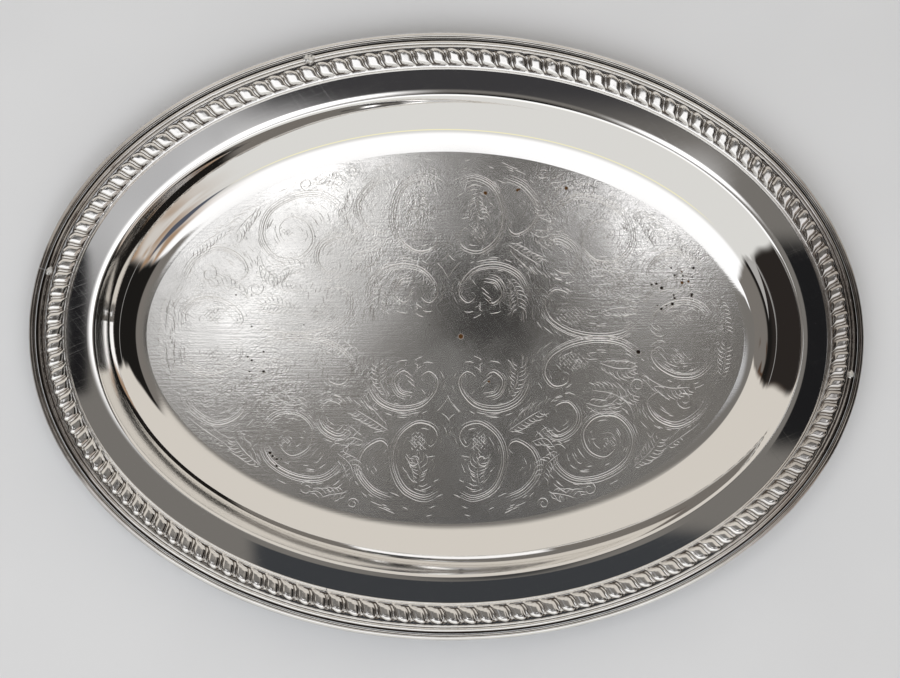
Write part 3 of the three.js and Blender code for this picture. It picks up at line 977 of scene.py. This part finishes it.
def quarterStrokes():
    step, line, fine, hair = (engraving[key] for key in ("step", "line", "fine", "hair"))
    chance = random.Random(engraving["seed"])
    strokes = []
    for points in engraving["scrolls"]:
        outer = through(points, step)
        strokes.append((outer, *line))
        for offset, share in ((1.25, 0.86), (2.4, 0.7), (-1.2, 0.55)):
            strokes.append((beside(outer, offset)[2:int(len(outer) * share)], *hair))
    for x, y, radius, start in engraving["curls"]:
        strokes.append((curl(x, y, radius, start), *fine))
    for points in engraving["sprays"]:
        spine = through(points, step)
        strokes.append((spine, *hair))
        along = np.gradient(spine, axis=0)
        for k in range(1, len(spine) - 1, 1 if len(spine) < 24 else 2):
            side = 1 if k % 2 else -1
            way = along[k] / np.hypot(*along[k])
            out = np.array([-way[1], way[0]]) * side
            size = (3.2 + 3.6 * math.sin(math.pi * k / len(spine))) * chance.uniform(0.8, 1.15)
            strokes.append((through([spine[k] + out * 0.6, spine[k] + (out * 0.62 + way * 0.3) * size,
                                     spine[k] + (out * 0.8 + way * 0.95) * size], step), *hair))
    for x, y, wide, tall in engraving["nets"]:
        for k in range(-6, 7):
            for slant in (1, -1):
                a, shift = [], k * 2.3
                for t in np.linspace(-1.4, 1.4, 29):
                    px, py = t * wide + shift * 0.5, slant * t * wide - slant * shift * 0.5
                    if (px / wide) ** 2 + (py / tall) ** 2 < 1:
                        a.append((x + px, y + py))
                if len(a) > 2:
                    steps = max(3, int(np.hypot(*(np.array(a[-1]) - a[0])) / 2))
                    strokes.append((np.linspace(a[0], a[-1], steps), *hair))
    return strokes + groundStrokes([curve for curve, width, _ in strokes if width != hair[0]], chance)


def wellFloor(edgePoints):
    coords, edges, samples, chased = [Vector(point) for point in edgePoints], [], [], []
    count = len(coords)
    edges += [(i, (i + 1) % count) for i in range(count)]
    half = edgePoints[0][0], edgePoints[count // 4][1]
    chance = random.Random(engraving["seed"] + 1)

    def inside(x, y, share=0.965):
        return (x / half[0]) ** 2 + (y / half[1]) ** 2 < share ** 2

    def addLine(points):
        first = len(coords)
        coords.extend(Vector(point) for point in points)
        edges.extend((i, i + 1) for i in range(first, first + len(points) - 1))

    for mirrorX, mirrorY in ((1, 1), (-1, 1), (-1, -1), (1, -1)):
        for curve, width, depth in quarterStrokes():
            curve = curve * (mirrorX, mirrorY) + (chance.uniform(-0.25, 0.25), chance.uniform(-0.25, 0.25))
            curve = curve[[inside(x, y) for x, y in curve]]
            if len(curve) < 3:
                continue
            if width != engraving["line"][0] and len(curve) > 7:
                chased.extend(curve[::3])
            t = np.linspace(0, 1, len(curve))
            reach = width / 2 * np.minimum(1, np.minimum(t, 1 - t) / 0.25) ** 0.6
            reach *= 1 + 0.2 * np.sin(t * 9 + curve[0, 0])
            left = beside(curve, 1.0) - curve
            addLine([curve[0], *(curve + left * reach[:, None])[1:-1], curve[-1]])
            addLine([curve[0], *(curve - left * reach[:, None])[1:-1], curve[-1]])
            addLine(curve)
            for k in range(len(curve) - 1):
                for f in (0.0, 0.25, 0.5, 0.75):
                    place = curve[k] * (1 - f) + curve[k + 1] * f
                    wide = reach[k] * (1 - f) + reach[k + 1] * f
                    samples.append((place[0], place[1], wide, depth * wide / (width / 2)))
    dots = []
    for kind in ("pits", "spots"):
        for (x, y), (wide, tall), many, radius in marks[kind]:
            for _ in range(many):
                px, py = x + chance.uniform(-wide, wide), y + chance.uniform(-tall, tall)
                r = radius * chance.uniform(0.5, 1.1)
                dots.append((px, py, r, kind))
                for size in (chance.uniform(0.75, 1.05), 1.5):
                    ring = [(px + r * size * math.cos(a), py + r * size * math.sin(a))
                            for a in (2 * math.pi * i / 7 for i in range(8))]
                    addLine(ring)
                coords.append(Vector((px, py)))
    grid, stray = 4.5, 0.8  # loose points between the strokes
    for i in range(-40, 41):
        for j in range(-26, 27):
            x = (i + 0.5 * (j % 2)) * grid + chance.uniform(-stray, stray)
            y = j * grid * 0.87 + chance.uniform(-stray, stray)
            if inside(x, y, 0.975):
                coords.append(Vector((x, y)))
    made = delaunay_2d_cdt(coords, edges, [list(range(count))], 1, 1e-4)
    flat, faces = np.array([tuple(v) for v in made[0]]), made[2]
    tree = searchTree(samples)
    height, cut, pit, spot = (np.zeros(len(flat)) for _ in range(4))
    for n, (x, y) in enumerate(flat):
        for _, i, away in tree.find_range((x, y, 0), 0.62):
            share = 1 - away / max(samples[i][2], 1e-6)
            if share * samples[i][3] > height[n]:
                height[n] = share * samples[i][3]
        cut[n] = min(1.0, height[n] / engraving["fine"][1])
        for px, py, r, kind in dots:
            if abs(x - px) < r and abs(y - py) < r and math.hypot(x - px, y - py) < r * 1.2:
                (pit if kind == "pits" else spot)[n] = 1.0
    height += pit * marks["depth"]
    dug = height.copy()
    spines = searchTree(chased)
    lines = np.array([math.exp(-(spines.find((x, y, 0))[2] / engraving["spread"]) ** 2) for x, y in flat])
    for n, (x, y) in enumerate(flat):
        fade = 1 - ((x / half[0]) ** 2 + (y / half[1]) ** 2)
        wave = body["wellWave"] * noise.noise(Vector((x / 75, y / 75, 4.2)))
        height[n] -= wave * max(0.0, min(1.0, fade * 3))
    return flat, height, faces, {"cut": cut, "pit": pit, "spot": spot, "dug": dug, "chased": lines}


def makeBody():
    columns = body["columns"]
    turn = np.arange(columns) / columns
    points, well = [], []

    def addRing(inset, height, wave):
        x, y = ringPoint(turn, inset * mm)
        waves = np.array([noise.noise(Vector((px * 22, py * 22, inset * 0.02))) for px, py in zip(x, y)])
        points.append(np.stack([x, y, (height + wave * waves) * mm], 1))

    top = sheetRows(0)[::-1]
    foot = top[-1][0]
    for inset, height in top:
        onWall = min(1.0, max(0.0, (inset - body["shoulder"] - 2) / 8))
        wave = body["rimWave"] + (body["wallWave"] - body["rimWave"]) * onWall ** 2 * (3 - 2 * onWall)
        addRing(inset, height, wave * min(1.0, max(0.0, (foot - inset) / 12)))
        well.append(np.full(columns, 1.0 if inset > foot - 0.1 else 0.0))
    low = sheetRows(body["sheet"], 2)
    for inset, height in low:
        addRing(inset, height, 0)
        well.append(np.zeros(columns))
    rings = len(points)
    faces = []
    for j in range(rings):
        if j == len(top) - 1:
            continue
        k = (j + 1) % rings
        for i in range(columns):
            after = (i + 1) % columns
            faces.append((j * columns + i, j * columns + after, k * columns + after, k * columns + i))
    faces.append(tuple(len(top) * columns + i for i in range(columns)))
    points, well = np.concatenate(points), np.concatenate(well)
    rim = (len(top) - 1) * columns
    flat, sunk, floorFaces, painted = wellFloor([tuple(p[:2] / mm) for p in points[rim:rim + columns]])
    first = len(points)
    points = np.concatenate([points, np.column_stack([flat * mm, (body["sheet"] - sunk) * mm])])
    faces += [tuple(first + i for i in face) for face in floorFaces]
    mesh = bpy.data.meshes.new("well_and_rim")
    mesh.from_pydata(points.tolist(), [], faces)
    values = {"well": np.concatenate([well, np.ones(len(flat))])}
    for name, onFloor in painted.items():
        values[name] = np.concatenate([np.zeros(first), onFloor])
    for name, shares in values.items():
        mesh.attributes.new(name, "FLOAT", "POINT").data.foreach_set("value", shares)
    mesh.materials.append(silverPlate)
    made = addObject("well_and_rim", mesh)
    work = bmesh.new()
    work.from_mesh(mesh)
    bmesh.ops.remove_doubles(work, verts=work.verts, dist=2e-6)
    bmesh.ops.dissolve_degenerate(work, edges=work.edges, dist=1e-6)
    bmesh.ops.recalc_face_normals(work, faces=work.faces)
    print("body:", len(work.faces), "faces,", sum(edge.is_boundary for edge in work.edges), "open edges")
    dug, onWell = work.verts.layers.float["dug"], work.verts.layers.float["well"]
    for face in work.faces:
        face.smooth = True
    for edge in work.edges:
        cutInto = any(vert[dug] > 0 for face in edge.link_faces for vert in face.verts)
        sharpest = 2.5 if all(vert[onWell] > 0.5 for vert in edge.verts) else 20
        creased = edge.calc_face_angle(0) > math.radians(sharpest)
        edge.smooth = not (cutInto or creased)
    work.to_mesh(mesh)
    work.free()
    mesh.attributes.remove(mesh.attributes["dug"])
    finishPiece(made, "silver_plate", "tray_body")


makeBody()
print("body made")


for name, piece in nodes.items():
    if name.startswith("mount_filler"):
        piece.data.materials.clear()
        piece.data.materials.append(leadTin)
